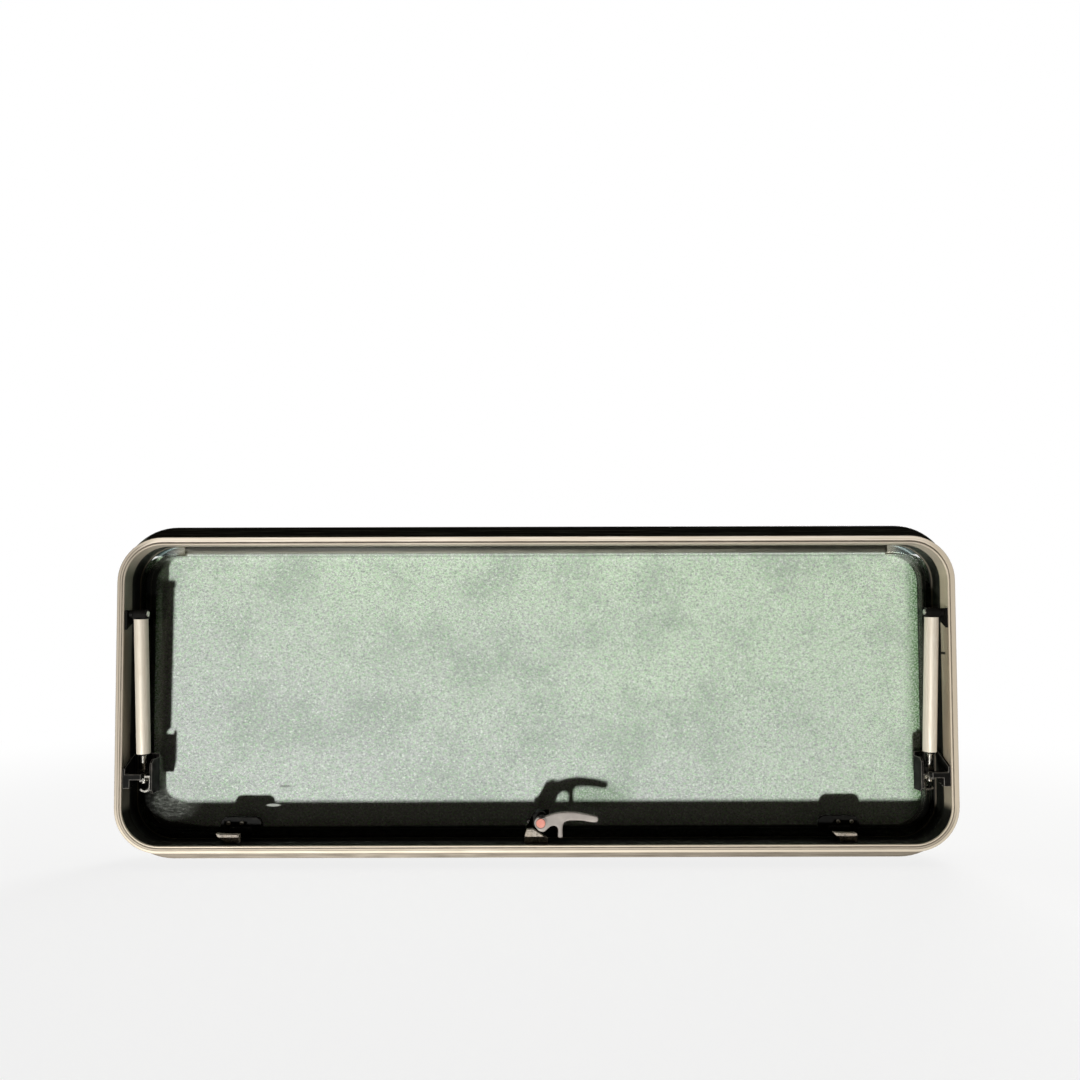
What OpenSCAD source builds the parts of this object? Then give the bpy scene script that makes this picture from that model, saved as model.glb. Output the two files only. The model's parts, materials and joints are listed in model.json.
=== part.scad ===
// Top-hung caravan window, seen from inside the vehicle: an aluminium frame clamped through the wall,
// a double acrylic pane with a raised tray, two telescopic stays and a centre catch.
// X runs to the right, Y outwards through the wall, Z up. The origin lies on the back of the outer
// flange, at the middle of its bottom member, where the flange bears on the wall's outer skin.

/* [Opening] */
// Clear width between the sleeve's side walls
opening_w = 884; // [760:1:1200]
// Clear height between the sleeve's floor and roof
opening_h = 321; // [266:1:600]
// Radius of the clear opening's corners
opening_r = 40; // [34:1:60]

/* [Clamp ring] */
// Width of the lip that shows on the inner wall
lip_w = 8; // [7:0.5:14]
// Thickness of the lip
lip_t = 2; // [1.6:0.1:4]
// Wall of the sleeve that reaches in from the lip
sleeve_t = 1.5; // [1:0.1:1.8]
// Depth of the sleeve behind the lip's face
sleeve_d = 17; // [14:0.5:22]
// Radius of the bead along the lip's inner edge
bead_r = 0.9; // [0.6:0.1:1.1]
// Width of the groove between the bead and the lip's flat band
groove_w = 1.4; // [0.8:0.1:2]
// Depth of that groove
groove_d = 0.9; // [0.5:0.1:1.2]
// How far the trim strip lies below the lip's face
trim_sink = 0.3; // [0.1:0.1:0.4]
// Width of the slit where the ends of the bent ring meet
joint_slit = 2.6; // [0.6:0.2:3]

/* [Outer frame] */
// Wall thickness between the lip and the flange
wall_t = 36; // [28:1:50]
// Gap between the sleeve and the tunnel around it
sleeve_gap = 0.5; // [0.3:0.1:0.8]
// Wall of the tunnel
tunnel_t = 2; // [1.5:0.1:3]
// Depth of the tunnel behind the flange
tunnel_d = 27; // [20:1:27]
// Thickness of the flange
flange_t = 3; // [2:0.1:4]
// Width of the flange beyond the clear opening
flange_w = 23.5; // [22:0.5:30]

/* [Seal] */
// Width of the rubber seal
seal_w = 6; // [4:0.5:7]
// Height of the rubber seal
seal_h = 7; // [5:0.5:9]
// Distance of the seal from the clear opening
seal_in = 3; // [2.5:0.5:3.5]

/* [Hinge] */
// Distance of the hinge line above the clear opening
hinge_up = 18.25; // [17.5:0.25:19]
// Distance of the hinge line outside the flange's back
hinge_out = 12; // [11:0.5:14]
// Radius of the bead that turns in the channel
hinge_bead_r = 3; // [2.6:0.1:3.2]
// Running gap around the bead
hinge_gap = 0.4; // [0.3:0.1:0.5]
// Wall of the channel
channel_t = 1.8; // [1.4:0.1:2]
// Thickness of the pane profile's webs
hinge_web = 1.6; // [1.4:0.1:2]
// Height of the leg on the outer sheet
hinge_leg = 16; // [12:1:24]

/* [Pane] */
// Thickness of the inner sheet
inner_t = 3; // [2:0.1:4]
// Thickness of the outer sheet
outer_t = 4; // [3:0.1:5]
// Thickness of the foam film on the outer face
film_t = 1; // [0.5:0.1:2]
// Gap between the seal and the closed pane
seal_gap = 0.3; // [0.2:0.1:0.6]
// How far the outer sheet reaches beyond the clear opening
pane_over = 20; // [16:0.5:21]
// Distance of the tray's walls from the clear opening
tray_in = 6; // [5:0.5:9]
// Distance of the tray's face from the inner sheet's rim
tray_h = 17.8; // [14:0.2:20]
// Outer bend radius along the tray's edge
tray_bend = 8; // [5:0.5:12]
// Width of the inner sheet's rim beyond the clear opening
rim_w = 9.5; // [8:0.5:10]
// Strip of bare sheet around the film
film_in = 3; // [1:0.5:10]

/* [Stays] */
// Distance of each stay from the sleeve's side wall
stay_in = 14; // [13:0.5:18]
// Diameter of the outer tube
tube_d = 14.3; // [12:0.1:15]
// Wall of the outer tube
tube_t = 1.2; // [0.8:0.1:1.6]
// Wall of the guide bush between the tube and the rod
bush_t = 2.6; // [2:0.1:3]
// Length of the guide bush inside the tube
bush_l = 12; // [8:0.5:20]
// Length of the eye's plug inside the tube
plug_l = 8; // [6:0.5:12]
// Running gap around the rod and the pins
stay_gap = 0.3; // [0.2:0.05:0.4]
// Length of rod that shows below the closed tube
rod_show = 32; // [30:1:60]
// Free length between the plug and the rod's end in the closed tube
rod_clear = 26.4; // [20:0.1:40]
// Diameter of the upper pin
stay_pin_d = 4; // [3:0.5:5]
// Height of the upper pin below the opening's roof
pivot_drop = 74; // [60:1:90]
// Distance of the upper pin behind the lip's face
pivot_back = 8; // [8:0.5:9]
// Height of the lower pivot above the sleeve's floor
foot_up = 63.5; // [55:0.5:80]
// Distance of the lower pivot from the tray's face
foot_off = 10; // [9:0.5:12]

/* [Brackets] */
// Thickness of the bracket plates
plate_t = 2.5; // [2:0.1:3]
// Height of the upper stay bracket
bracket_h = 21; // [18:1:30]
// Height of the ear of the pane bracket
ear_h = 37; // [30:1:45]
// Height of the pane bracket's foot on the tray
foot_plate_h = 41.5; // [36:0.5:42]
// Thickness of that foot
foot_plate_t = 2; // [1.5:0.1:2.2]
// Length of the shelf of the lower bracket
shelf_l = 17; // [10:0.5:18]
// Depth of the shelf of the lower bracket
shelf_d = 8.8; // [6:0.1:8.8]
// Thickness of the shelf of the lower bracket
shelf_t = 6; // [3:0.5:7]
// Height of the shelf's underside above the lower pivot
shelf_up = 6; // [2:0.5:8]

/* [Catch] */
// Distance of the lever's axis to the right of the middle
catch_x = 4.3; // [-20:0.1:20]
// Height of the lever's axis above the sleeve's floor
catch_up = 21.1; // [20:0.1:30]
// Thickness of the lever
lever_t = 5; // [4:0.5:6]
// Height of the lever's back above the tray's face
lever_off = 16.5; // [15:0.5:18]
// Radius of the lever's hub
hub_r = 6.9; // [6.6:0.1:8]
// Radius of the button
button_r = 5; // [4:0.1:5.4]
// How far the button stands out of the lever
button_out = 1.5; // [1:0.1:3]
// Travel of the button
button_travel = 2; // [1:0.5:2]
// Radius of the lever's shaft
shaft_r = 3; // [2:0.1:3.5]
// Distance of the left catch from the sleeve's side wall
left_catch_in = 118; // [90:1:300]
// Distance of the right catch from the sleeve's side wall
right_catch_in = 111; // [90:1:300]
// Width of a side catch
catch_w = 45; // [40:1:60]
// Height of a side catch
catch_h = 18; // [14:0.5:22]
// Distance between the two screws of a side catch
catch_pitch = 14.6; // [10:0.1:20]

/* [Hidden] */
$fn = 96;

// Finishes as the eye sees them
BARE_METAL = "#CFC6B4";
STAY_METAL = "#EDE6D6";
BRIGHT_METAL = "#D8D6D0";
BLACK = "#1B1B19";
RUBBER = "#171715";
CLEAR = "#5E6258";
FILM = "#B7C9B1";
LEVER_GREY = "#B0AAA5";
KEEPER_GREY = "#9A958B";
PINK = "#E69B8C";

// Places along Y, outwards
lip_y = -wall_t - lip_t;
sleeve_end_y = lip_y + sleeve_d;
seal_y = flange_t + seal_h;
rim_y = seal_y + seal_gap;
outer_y = rim_y + inner_t;
film_y = outer_y + outer_t;
tray_y = rim_y - tray_h;
// Distances beyond the clear opening
tunnel_u = sleeve_t + sleeve_gap;
rail_u = 12;
pane_top_u = hinge_up - hinge_bead_r - hinge_gap - channel_t - 2.5;
// The opening's middle stands over the origin, which is the middle of the flange's bottom member
mid_z = opening_h / 2 + (tunnel_u + flange_w) / 2;
floor_z = mid_z - opening_h / 2;
roof_z = mid_z + opening_h / 2;
// Stays
stay_x = opening_w / 2 - stay_in;
pivot_y = lip_y + pivot_back;
pivot_z = roof_z - pivot_drop;
foot_y = tray_y - foot_off;
foot_z = floor_z + foot_up;
stay_l = norm([foot_y - pivot_y, foot_z - pivot_z]);
stay_tilt = atan2(foot_y - pivot_y, pivot_z - foot_z);
tube_top = 5.5;
tube_l = stay_l - tube_top - rod_show;
tube_bore = tube_d - 2 * tube_t;
plug_d = tube_bore - 0.1;
rod_bore = plug_d - 2 * bush_t;
rod_d = rod_bore - 2 * stay_gap;
rod_in = tube_l - plug_l - rod_clear;
eye_w = tube_d - 0.5;
eye_r = 4.8;
pin_head_t = 1;
strap_w = 10;
strap_t = 2;
strap_up = 8.5;
strap_down = 9.5;
strap_x = 9.7;
strap_curl_r = 7;
strap_curl_end = 140;
ear_x = stay_x - strap_x - 0.3 - plate_t;
ear_low = foot_z - 11;
wall_x = opening_w / 2;
// Catch
catch_z = floor_z + catch_up;
lever_back_y = tray_y - lever_off;
lever_y = lever_back_y - lever_t;
base_t = 3;
block_back = 1;
keeper_y = sleeve_end_y - 7;
keeper_d = 6.5;
left_catch_x = wall_x - left_catch_in;
right_catch_x = wall_x - right_catch_in;
side_z = floor_z + 15.5;
side_base_t = 4;

// 2D profiles have the distance beyond the clear opening as x and the depth as y

module member_top() {
    rotate([0, -90, 0])
        translate([opening_h / 2, 0, opening_r - opening_w / 2])
            linear_extrude(opening_w - 2 * opening_r) children();
}

module member_right() {
    translate([opening_w / 2, 0, opening_r - opening_h / 2])
        linear_extrude(opening_h - 2 * opening_r) children();
}

module corner_top_right() {
    translate([opening_w / 2 - opening_r, 0, opening_h / 2 - opening_r])
        rotate([90, 0, 0])
            rotate_extrude(angle = 90)
                mirror([0, 1, 0]) translate([opening_r, 0]) children();
}

module bent_ring() {
    translate([0, 0, mid_z]) {
        for (flip = [0, 1]) {
            mirror([0, 0, flip]) member_top() children();
            mirror([flip, 0, 0]) member_right() children();
            mirror([flip, 0, 0]) corner_top_right() children();
            mirror([flip, 0, 0]) mirror([0, 0, 1]) corner_top_right() children();
        }
    }
}

module bent_top() {
    translate([0, 0, mid_z]) {
        member_top() children();
        for (flip = [0, 1]) mirror([flip, 0, 0]) corner_top_right() children();
    }
}

module bent_lower() {
    translate([0, 0, mid_z]) {
        mirror([0, 0, 1]) member_top() children();
        for (flip = [0, 1]) {
            mirror([flip, 0, 0]) member_right() children();
            mirror([flip, 0, 0]) mirror([0, 0, 1]) corner_top_right() children();
        }
    }
}

// A rectangle given by its edges beyond two corners, as u or z
module band(u0, u1, y0, y1) {
    translate([u0, y0]) square([u1 - u0, y1 - y0]);
}

// A flat shape in X and Z, from y to y + t
module facing(y, t) {
    translate([0, y + t, 0]) rotate([90, 0, 0]) linear_extrude(t) children();
}

// A flat shape in Y and Z, from x to x + t
module sideways(x, t) {
    translate([x, 0, 0]) rotate([90, 0, 90]) linear_extrude(t) children();
}

module rounded(x0, x1, z0, z1, r) {
    translate([x0 + r, z0]) square([x1 - x0 - 2 * r, z1 - z0]);
    translate([x0, z0 + r]) square([x1 - x0, z1 - z0 - 2 * r]);
    for (x = [x0 + r, x1 - r], z = [z0 + r, z1 - r]) translate([x, z]) circle(r);
}

// Puts a part drawn for the right side on both or one of the sides
module on_left() {
    mirror([1, 0, 0]) children();
}

// Frame

module outer_frame() {
    color(BARE_METAL) {
        bent_ring() {
            union() {
                band(tunnel_u, tunnel_u + tunnel_t, -tunnel_d, flange_t);
                band(tunnel_u, rail_u, 0, flange_t);
            }
        }
        bent_lower() band(tunnel_u, flange_w, 0, flange_t);
    }
}

module channel_profile() {
    reach = 2 * (hinge_bead_r + hinge_gap + channel_t);
    translate([hinge_up, hinge_out]) difference() {
        circle(hinge_bead_r + hinge_gap + channel_t);
        circle(hinge_bead_r + hinge_gap);
        polygon([[0, 0], for (a = [-110, -65, -20]) reach * [sin(a), cos(a)]]);
    }
}

module hinge_rail() {
    ring_r = hinge_bead_r + hinge_gap + channel_t;
    color(BLACK) {
        bent_top() band(rail_u, flange_w, 0, flange_t);
        translate([0, 0, mid_z]) member_top() {
            channel_profile();
            band(hinge_up - 2, flange_w, 0, hinge_out - ring_r + 0.6);
            band(hinge_up + ring_r - channel_t, flange_w, flange_t, hinge_out + 2);
        }
    }
}

module main_seal() {
    lobe = seal_w / 2;
    color(RUBBER) bent_ring() union() {
        band(seal_in, seal_in + seal_w, flange_t, seal_y - lobe);
        translate([seal_in + lobe, seal_y - lobe]) circle(lobe);
    }
}

module clamp_ring() {
    groove_u = 2 * bead_r;
    color(BARE_METAL) difference() {
        bent_ring() difference() {
            union() {
                band(0, lip_w, lip_y, lip_y + lip_t);
                band(0, sleeve_t, lip_y, sleeve_end_y);
                translate([bead_r, lip_y]) circle(bead_r);
            }
            band(groove_u, groove_u + groove_w, lip_y - 1, lip_y + groove_d);
        }
        translate([wall_x - 1, sleeve_end_y - 9, pivot_z - 46]) cube([sleeve_t + 2, 10, joint_slit]);
    }
}

module ring_trim() {
    groove_u = 2 * bead_r;
    color(RUBBER) bent_ring() band(groove_u, groove_u + groove_w, lip_y + trim_sink, lip_y + groove_d);
}

// Stay brackets on the frame, drawn for the right side

module stay_bracket() {
    low = pivot_z + 4 - bracket_h;
    color(BLACK) difference() {
        union() {
            sideways(wall_x - plate_t, plate_t)
                polygon([[lip_y + 1, pivot_z + 4], [sleeve_end_y, pivot_z + 4],
                         [sleeve_end_y, low + 9], [lip_y + 1, low]]);
            sideways(stay_x + eye_w / 2 + 1, wall_x - stay_x - eye_w / 2 - 1)
                translate([pivot_y, pivot_z]) circle(4);
        }
        sideways(stay_x, wall_x - stay_x + 1)
            translate([pivot_y, pivot_z]) circle(stay_pin_d / 2 + 0.05);
    }
}

module pivot_pin() {
    head_x = stay_x - eye_w / 2 - pin_head_t - 0.3;
    color(BRIGHT_METAL) {
        sideways(head_x, wall_x - head_x) translate([pivot_y, pivot_z]) circle(stay_pin_d / 2);
        sideways(head_x, pin_head_t) translate([pivot_y, pivot_z]) circle(stay_pin_d / 2 + 1);
    }
}

module stay_rest() {
    back_y = tray_y - 6.5;
    shelf_z = foot_z + shelf_up;
    color(BLACK) {
        sideways(wall_x - plate_t, plate_t)
            polygon([[lip_y + 1, shelf_z - 9], [lip_y + 1, shelf_z + 12],
                     [back_y, shelf_z + 25], [back_y, shelf_z - 9]]);
        translate([wall_x - plate_t - shelf_l, lip_y + 1, shelf_z])
            cube([shelf_l + 0.5, shelf_d, shelf_t]);
        translate([wall_x - plate_t - 5, lip_y + 1, shelf_z - 9])
            cube([5.5, shelf_d - 2, 9.5]);
    }
}

// Keepers on the sleeve's floor

module centre_keeper() {
    color(KEEPER_GREY) facing(keeper_y, keeper_d)
        translate([0, floor_z])
            polygon([[-13.2, 0], [-13.2, 6.8], [-11, 14], [-3.7, 14.4], [11.9, 4], [11.9, 0]]);
}

// A claw over the floor, with a foot at its right and a lower pad set back under it
module side_keeper() {
    color(KEEPER_GREY) translate([0, 0, floor_z]) {
        facing(keeper_y, keeper_d)
            polygon([[-11.5, 10.2], [-4.5, 9.4], [13.5, 9.2], [13.5, 0], [11, 0], [10.2, 1.8],
                     [-1, 2.2], [-5.4, 4], [-8.8, 6.6]]);
        facing(keeper_y + 2.5, keeper_d - 2.5) band(-3.5, 12, 0, 4);
    }
}

// Pane

module inner_sheet() {
    bend_u = -tray_in - tray_bend;
    inner_r = tray_bend - inner_t;
    face_w = opening_w / 2 + bend_u;
    face_h = opening_h / 2 + bend_u;
    color(CLEAR) {
        bent_ring() union() {
            band(-tray_in - inner_t, rim_w, rim_y, outer_y);
            band(-tray_in - inner_t, -tray_in, tray_y + tray_bend, outer_y);
            translate([bend_u, tray_y + tray_bend]) difference() {
                circle(tray_bend);
                circle(inner_r);
                translate([-2 * tray_bend, -tray_bend - 1]) square([2 * tray_bend, 3 * tray_bend]);
                translate([-1, 0]) square([2 * tray_bend, 2 * tray_bend]);
            }
        }
        facing(tray_y, inner_t)
            rounded(-face_w, face_w, mid_z - face_h, mid_z + face_h, opening_r + bend_u);
    }
}

module pane_outline(inset) {
    x = opening_w / 2 + pane_over - inset;
    rounded(-x, x, floor_z - pane_over + inset, roof_z + pane_top_u - inset,
            opening_r + pane_over - inset - 4);
}

module outer_sheet() {
    color(CLEAR) facing(outer_y, outer_t) pane_outline(0);
}

module protective_film() {
    x = opening_w / 2 + pane_over - film_in;
    color(FILM) facing(film_y, film_t)
        rounded(-x, x, floor_z - pane_over + film_in, roof_z + pane_top_u - hinge_leg - 0.5, opening_r);
}

module pane_hinge() {
    half = hinge_web / 2;
    color(BARE_METAL) translate([0, 0, mid_z]) member_top() {
        translate([hinge_up, hinge_out]) circle(hinge_bead_r);
        band(pane_top_u, hinge_up, hinge_out - half, hinge_out + half);
        band(pane_top_u, pane_top_u + hinge_web, hinge_out - half, film_y + hinge_web);
        band(pane_top_u - hinge_leg, pane_top_u + hinge_web, film_y, film_y + hinge_web);
    }
}

// The ear stands on a foot that reaches to the tray's bend, with its screws above the stay's nuts
module pane_bracket() {
    front = foot_y - 9;
    color(BLACK) {
        sideways(ear_x, plate_t)
            polygon([[tray_y, ear_low], [tray_y, ear_low + ear_h], [front + 4, ear_low + ear_h],
                     [front, ear_low + ear_h - 4], [front, ear_low + 4], [front + 4, ear_low]]);
        facing(tray_y - foot_plate_t, foot_plate_t)
            rounded(ear_x, wall_x - tray_in - tray_bend, ear_low, ear_low + foot_plate_h, 1);
    }
}

module pane_screws() {
    top = ear_low + foot_plate_h;
    color(BRIGHT_METAL) for (z = [top - 12, top - 4]) facing(tray_y - foot_plate_t - 1.2, 1.2)
        translate([(ear_x + plate_t + wall_x - tray_in - tray_bend) / 2, z]) circle(2.3);
}

// Centre catch on the pane

module catch_base() {
    block_y = lever_back_y + block_back;
    low = floor_z + 7 - catch_z;
    color(BLACK) translate([catch_x, 0, catch_z]) difference() {
        union() {
            facing(tray_y - base_t, base_t)
                polygon([[-18.5, low], [-16.5, low + 4], [-8, 6.5], [-5, 10], [9, 10], [9, low]]);
            facing(block_y, tray_y - block_y) {
                translate([-0.7, 3.2]) circle(7.6);
                band(-8.3, 8.5, -4.1, 3.2);
            }
        }
        facing(block_y - 1, lever_off - block_back - base_t + 1) circle(shaft_r + 0.3);
    }
}

module catch_screws() {
    color(BRIGHT_METAL) for (place = [[-13, -2], [5.5, -10.6]]) facing(tray_y - base_t - 1.4, 1.4)
        translate([catch_x + place[0], catch_z + place[1]]) circle(2.4);
}

module catch_lever() {
    color(LEVER_GREY) difference() {
        union() {
            facing(lever_y, lever_t) translate([catch_x, catch_z]) {
                circle(hub_r);
                polygon([[3.6, 9.05], [17.4, 12.5], [31.2, 12.7], [45, 11.2], [57.1, 8.2], [58.6, 0.6],
                         [57.1, 0.5], [39.8, 2.4], [27.8, 2.2], [23.4, -0.4], [22.6, -4.7],
                         [24, -14.8], [18, -15], [17.4, -6.5], [14, -3.4], [8.8, -5.6],
                         [3.6, -9.6], [0.2, -9.4], [-3.7, -7.3], [-4, 0]]);
                translate([58.4, 4.4]) circle(3.9);
                translate([21, -15]) circle(3);
            }
            facing(lever_back_y, lever_off - base_t - 2)
                translate([catch_x, catch_z]) circle(shaft_r);
        }
        facing(lever_y - 1, lever_t - 0.5) translate([catch_x, catch_z]) circle(button_r + 0.2);
        facing(lever_y - 1, lever_t + 2) stop_shape();
    }
}

module hub_ring() {
    color(LEVER_GREY) facing(lever_y - 1, 1) difference() {
        translate([catch_x, catch_z]) circle(hub_r - 0.2);
        translate([catch_x, catch_z]) circle(button_r + 0.4);
        stop_shape();
    }
}

// The notch over the button, which the black stop fills
module stop_shape() {
    translate([catch_x - 2, catch_z + button_r + 0.6]) square([5, hub_r - button_r + 1.2]);
}

module lever_stop() {
    color(BLACK) facing(lever_y, lever_t) stop_shape();
}

module catch_button() {
    color(PINK) facing(lever_y - button_out, button_out + lever_t - 1.5 - button_travel)
        translate([catch_x, catch_z]) circle(button_r);
}

// Side catches, drawn for the right side

module side_catch(x) {
    color(BLACK) translate([x, 0, side_z]) {
        facing(tray_y - side_base_t, side_base_t)
            rounded(-catch_w / 2, catch_w / 2, -catch_h / 2, catch_h / 2, 8);
        facing(tray_y - side_base_t - 3, 3) rounded(-12, 12, -catch_h / 2 + 1, -2, 2);
    }
}

module side_catch_screws(x) {
    color(BRIGHT_METAL) for (off = [-1, catch_pitch - 1]) facing(tray_y - side_base_t - 1.5, 1.5)
        translate([x + off, side_z + 2.4]) circle(2.4);
}

// Stays, drawn for the right side: along -Z from the pin, then tilted onto the line of the two pivots

module on_stay() {
    translate([stay_x, pivot_y, pivot_z]) rotate([stay_tilt, 0, 0]) children();
}

module stay_tube() {
    color(STAY_METAL) on_stay() translate([0, 0, -tube_top - tube_l]) difference() {
        cylinder(d = tube_d, h = tube_l);
        translate([0, 0, -1]) cylinder(d = tube_bore, h = tube_l + 2);
    }
}

module stay_eye() {
    color(BLACK) on_stay() difference() {
        union() {
            translate([-eye_w / 2, 0, 0]) rotate([0, 90, 0]) cylinder(r = eye_r, h = eye_w);
            translate([-eye_w / 2, -eye_r, -tube_top]) cube([eye_w, 2 * eye_r, tube_top]);
            translate([0, 0, -tube_top - plug_l]) cylinder(d = plug_d, h = plug_l);
        }
        translate([-eye_w, 0, 0]) rotate([0, 90, 0]) cylinder(d = stay_pin_d + 2 * stay_gap, h = 2 * eye_w);
    }
}

module stay_bush() {
    color(BLACK) on_stay() translate([0, 0, -tube_top - tube_l]) difference() {
        union() {
            cylinder(d = plug_d, h = bush_l);
            translate([0, 0, -1.5]) cylinder(d = tube_d - 1.5, h = 1.5);
        }
        translate([0, 0, -3]) cylinder(d = rod_bore, h = bush_l + 6);
    }
}

module stay_rod() {
    top = tube_top + tube_l - rod_in;
    color(BRIGHT_METAL) on_stay() translate([0, 0, -stay_l + strap_up - 9])
        cylinder(d = rod_d, h = stay_l - strap_up + 9 - top);
}

// A tongue under the nuts, a side against the ear and a lip that curls round below
module strap_shape() {
    curl_z = strap_curl_r - strap_down;
    band(-strap_x, strap_t - strap_x, curl_z, strap_up);
    band(-strap_x, 4, strap_up - strap_t, strap_up);
    translate([strap_curl_r - strap_x, curl_z]) intersection() {
        difference() {
            circle(strap_curl_r);
            circle(strap_curl_r - strap_t);
        }
        polygon([[0, 0], for (a = [0:strap_curl_end / 4:strap_curl_end])
            2 * strap_curl_r * [-cos(a), -sin(a)]]);
    }
}

module rod_strap() {
    color(BRIGHT_METAL) on_stay() translate([0, 0, -stay_l]) difference() {
        union() {
            facing(-strap_w / 2, strap_w) strap_shape();
            translate([-strap_x + strap_t, 0, -3]) rotate([0, 90, 0]) cylinder(r = 3, h = 1.5);
        }
        translate([0, 0, strap_up - strap_t - 1]) cylinder(d = rod_d + 0.1, h = strap_t + 2);
    }
}

module rod_nuts() {
    color(BRIGHT_METAL) on_stay() translate([0, 0, -stay_l]) difference() {
        union() {
            translate([0, 0, strap_up + 1.2]) cylinder(d = 11, h = 5, $fn = 6);
            translate([0, 0, strap_up]) cylinder(d = 9, h = 1.2);
            translate([0, 0, strap_up - strap_t - 4.5]) cylinder(d = 11, h = 4.5, $fn = 6);
        }
        translate([0, 0, -5]) cylinder(d = rod_d + 0.1, h = 30);
    }
}

outer_frame();
hinge_rail();
main_seal();
clamp_ring();
ring_trim();
on_left() stay_bracket();  // left_stay_bracket
stay_bracket();  // right_stay_bracket
on_left() pivot_pin();  // left_pivot_pin
pivot_pin();  // right_pivot_pin
on_left() stay_rest();  // left_stay_rest
stay_rest();  // right_stay_rest
centre_keeper();
translate([-left_catch_x - 10, 0, 0]) side_keeper();  // left_keeper
translate([right_catch_x, 0, 0]) side_keeper();  // right_keeper
outer_sheet();
inner_sheet();
protective_film();
pane_hinge();
on_left() pane_bracket();  // left_pane_bracket
pane_bracket();  // right_pane_bracket
on_left() pane_screws();  // left_pane_screws
pane_screws();  // right_pane_screws
catch_base();
catch_screws();
on_left() side_catch(left_catch_x);  // left_catch
side_catch(right_catch_x);  // right_catch
on_left() side_catch_screws(left_catch_x);  // left_catch_screws
side_catch_screws(right_catch_x);  // right_catch_screws
catch_lever();
hub_ring();
lever_stop();
catch_button();
on_left() stay_tube();  // left_stay_tube
stay_tube();  // right_stay_tube
on_left() stay_eye();  // left_stay_eye
stay_eye();  // right_stay_eye
on_left() stay_bush();  // left_stay_bush
stay_bush();  // right_stay_bush
on_left() stay_rod();  // left_stay_rod
stay_rod();  // right_stay_rod
on_left() rod_strap();  // left_rod_strap
rod_strap();  // right_rod_strap
on_left() rod_nuts();  // left_rod_nuts
rod_nuts();  // right_rod_nuts
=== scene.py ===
"""Looks of the caravan window: its finishes, softened edges, screw heads, camera, lamps and floor.

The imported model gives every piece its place, in metres: X to the right as seen from inside the
vehicle, Y outwards through the wall and Z up. Each piece made here follows the solid that it stands
for, with the edges and heads that the real one has.
"""

from __future__ import annotations

import json
import logging
import math
from dataclasses import dataclass, field
from enum import Enum
from typing import Any

import bmesh
import bpy
from bmesh.types import BMesh, BMVert
from bpy.types import Material, Node, NodeSocket, NodeTree, Object
from mathutils import Matrix, Vector

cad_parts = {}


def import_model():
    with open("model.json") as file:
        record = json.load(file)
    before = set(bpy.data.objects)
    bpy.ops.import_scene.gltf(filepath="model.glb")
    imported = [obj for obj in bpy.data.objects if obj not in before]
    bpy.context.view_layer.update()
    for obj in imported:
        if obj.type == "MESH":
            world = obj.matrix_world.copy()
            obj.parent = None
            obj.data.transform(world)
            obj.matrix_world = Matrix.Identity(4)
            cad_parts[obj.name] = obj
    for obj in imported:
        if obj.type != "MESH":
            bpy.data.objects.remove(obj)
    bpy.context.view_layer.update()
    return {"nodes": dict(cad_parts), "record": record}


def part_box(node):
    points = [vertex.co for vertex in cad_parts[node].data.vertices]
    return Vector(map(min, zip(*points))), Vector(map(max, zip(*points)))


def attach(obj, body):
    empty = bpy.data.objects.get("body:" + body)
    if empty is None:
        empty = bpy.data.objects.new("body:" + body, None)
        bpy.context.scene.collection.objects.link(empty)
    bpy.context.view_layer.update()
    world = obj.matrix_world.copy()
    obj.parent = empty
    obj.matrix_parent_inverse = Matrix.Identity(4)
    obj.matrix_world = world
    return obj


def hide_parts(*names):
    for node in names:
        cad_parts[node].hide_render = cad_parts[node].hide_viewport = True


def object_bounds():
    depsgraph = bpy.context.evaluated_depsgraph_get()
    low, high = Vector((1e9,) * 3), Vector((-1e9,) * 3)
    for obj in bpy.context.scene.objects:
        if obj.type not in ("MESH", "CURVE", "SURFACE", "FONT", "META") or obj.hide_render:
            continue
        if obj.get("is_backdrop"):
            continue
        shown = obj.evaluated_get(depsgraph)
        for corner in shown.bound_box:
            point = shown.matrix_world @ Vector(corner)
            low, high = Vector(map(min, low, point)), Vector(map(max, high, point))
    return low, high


LOG = logging.getLogger("caravan_window")
MM = 0.001
BEVEL_ANGLE = math.radians(28)
SMOOTH_ANGLE = math.radians(38)
FLAT_ANGLE = math.radians(0.5)
JOIN_DISTANCE = 0.001 * MM


# Node trees


def linear(code: str) -> tuple[float, float, float, float]:
    """Turns a colour as the eye sees it into the linear values that shaders take.

    Args:
        code: sRGB hex value such as "#D9CFBC".

    Returns:
        Linear red, green and blue with an alpha of 1.
    """
    parts = [int(code[i : i + 2], 16) / 255 for i in (1, 3, 5)]
    made = [c / 12.92 if c <= 0.04045 else ((c + 0.055) / 1.055) ** 2.4 for c in parts]
    return (*made, 1.0)


def add(tree: NodeTree, kind: str, inputs: dict[str, Any] | None = None, **settings: Any) -> Node:
    """Adds a node with its settings and links.

    Args:
        tree: The tree that gets the node.
        kind: The node's type, such as "ShaderNodeTexNoise".
        inputs: For each input, by its identifier or name, a value or the socket that feeds it.
        **settings: Values for the node's own properties.

    Returns:
        The new node.
    """
    node = tree.nodes.new(kind)
    for name, value in settings.items():
        setattr(node, name, value)
    for key, value in (inputs or {}).items():
        socket = next(s for s in node.inputs if key in (s.identifier, s.name))
        if isinstance(value, NodeSocket):
            tree.links.new(value, socket)
        else:
            socket.default_value = value
    return node


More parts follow.
